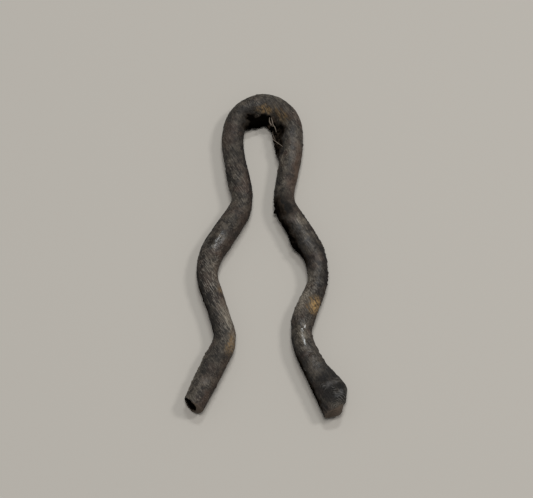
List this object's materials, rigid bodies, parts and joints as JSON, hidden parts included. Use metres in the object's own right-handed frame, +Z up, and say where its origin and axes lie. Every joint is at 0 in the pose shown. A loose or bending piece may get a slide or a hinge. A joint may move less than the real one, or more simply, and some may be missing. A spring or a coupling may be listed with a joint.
{
  "type": "hitch clip pin",
  "caption": "Spring wire hitch clip with a round eye and two waved legs, rusted, with dirt caked in the eye and on one leg.",
  "frame": {"origin": "on the axis of the shaft that the clip grips, between its two bellies, at the surface that the clip rests on", "axes": "+Y from the shaft towards the eye, +X across the legs, +Z up along the shaft's axis, out of the plane of the clip"},
  "size_m": [0.0343, 0.0734, 0.0056],
  "materials": {
    "rusted_wire": "dull dark brown rust over steel wire, with ochre spots and black caked dirt"
  },
  "bodies": {
    "root": {"r_clip": "rusted_wire"}
  },
  "joints": []
}
